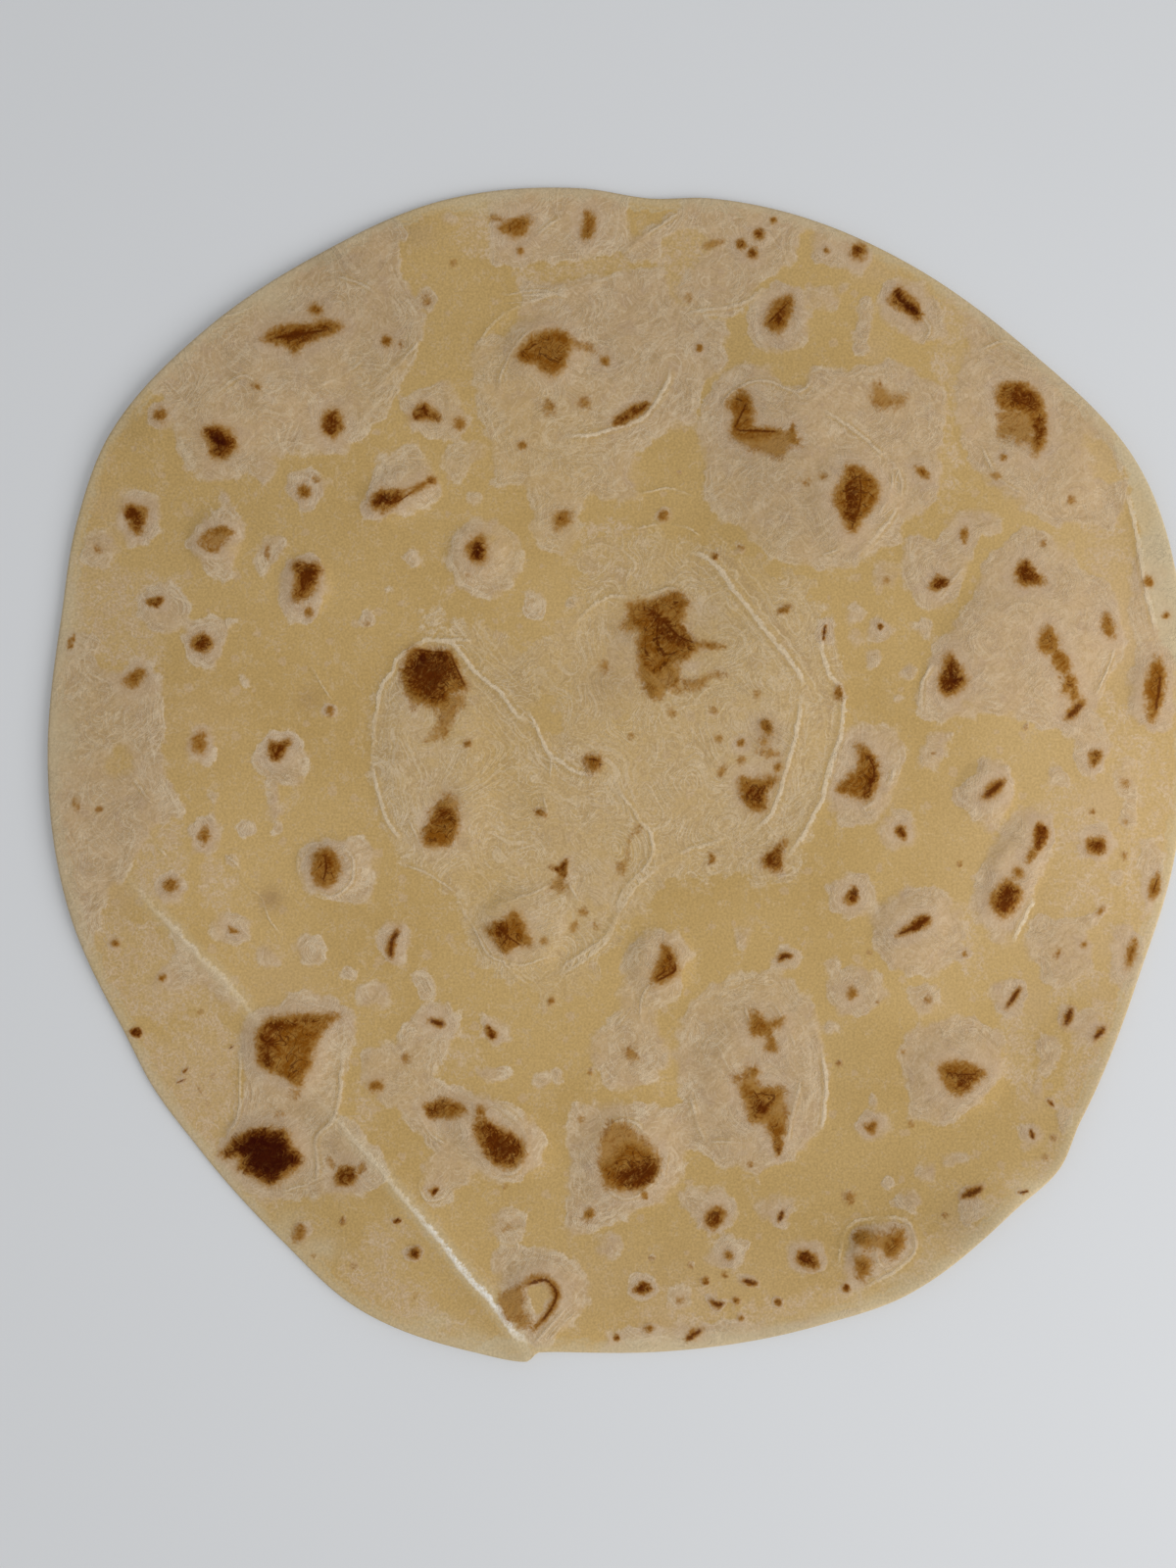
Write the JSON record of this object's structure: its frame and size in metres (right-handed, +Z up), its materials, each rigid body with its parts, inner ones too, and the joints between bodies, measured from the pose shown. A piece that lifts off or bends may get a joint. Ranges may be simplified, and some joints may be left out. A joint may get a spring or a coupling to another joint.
{
  "type": "flour tortilla",
  "caption": "Large soft flour tortilla lying flat, toasted in spots, with sunken blisters, a gently lifted rim and an old fold crease.",
  "frame": {"origin": "middle of the outline, on the surface that the tortilla lies on", "axes": "+Z up out of the shown side; +Y towards the edge opposite the torn end of the fold; +X to the right of that"},
  "size_m": [0.248, 0.2556, 0.0041],
  "materials": {
    "dough": "matte griddled wheat dough, tan and slightly waxy, with pinkish cream blisters and dark brown toasted spots"
  },
  "bodies": {
    "root": {"tortilla": "dough"}
  },
  "joints": []
}
